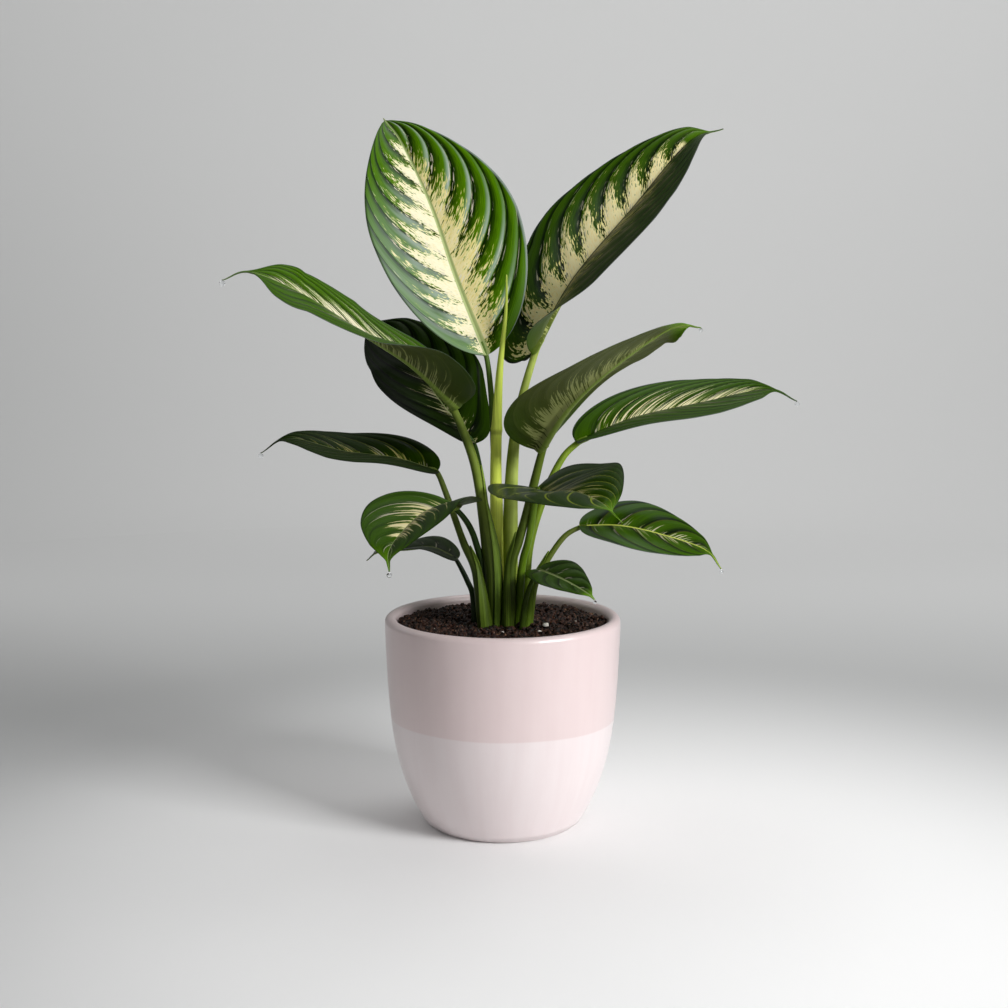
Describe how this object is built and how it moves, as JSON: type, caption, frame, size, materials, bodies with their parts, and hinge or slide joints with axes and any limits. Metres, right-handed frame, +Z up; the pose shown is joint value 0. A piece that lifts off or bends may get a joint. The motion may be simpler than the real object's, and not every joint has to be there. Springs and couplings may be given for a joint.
{
  "type": "potted dieffenbachia",
  "caption": "House plant in a round glazed pot: pointed oval leaves with cream centres on green stalks, fanning out from dark soil below a rounded rim.",
  "frame": {"origin": "centre of the underside of the pot, on the surface that it stands on", "axes": "+Z up along the pot's axis, +X to the right and -Y towards the viewer in the picture"},
  "size_m": [0.3536, 0.1832, 0.4537],
  "materials": {
    "pot_glaze": "gloss",
    "potting_mix": "matte",
    "perlite": "matte",
    "leaf_blade": "satin",
    "leaf_underside": "satin",
    "leaf_stalk": "satin",
    "new_leaf": "satin",
    "water_drop": "polished"
  },
  "bodies": {
    "root": {"pot": "pot_glaze", "soil": "potting_mix", "rolled_new_leaf": "new_leaf", "top_left_leaf_stalk": "leaf_stalk", "top_left_leaf_blade": "leaf_blade", "top_right_leaf_stalk": "leaf_stalk", "top_right_leaf_blade": "leaf_blade", "long_left_leaf_stalk": "leaf_stalk", "long_left_leaf_blade": "leaf_blade", "back_left_leaf_stalk": "leaf_stalk", "back_left_leaf_blade": "leaf_blade", "upper_right_leaf_stalk": "leaf_stalk", "upper_right_leaf_blade": "leaf_blade", "long_right_leaf_stalk": "leaf_stalk", "long_right_leaf_blade": "leaf_blade", "middle_left_leaf_stalk": "leaf_stalk", "middle_left_leaf_blade": "leaf_blade", "front_left_leaf_stalk": "leaf_stalk", "front_left_leaf_blade": "leaf_blade", "small_left_leaf_stalk": "leaf_stalk", "small_left_leaf_blade": "leaf_blade", "front_right_leaf_stalk": "leaf_stalk", "front_right_leaf_blade": "leaf_blade", "lower_right_leaf_stalk": "leaf_stalk", "lower_right_leaf_blade": "leaf_blade", "small_right_leaf_stalk": "leaf_stalk", "small_right_leaf_blade": "leaf_blade"}
  },
  "joints": []
}
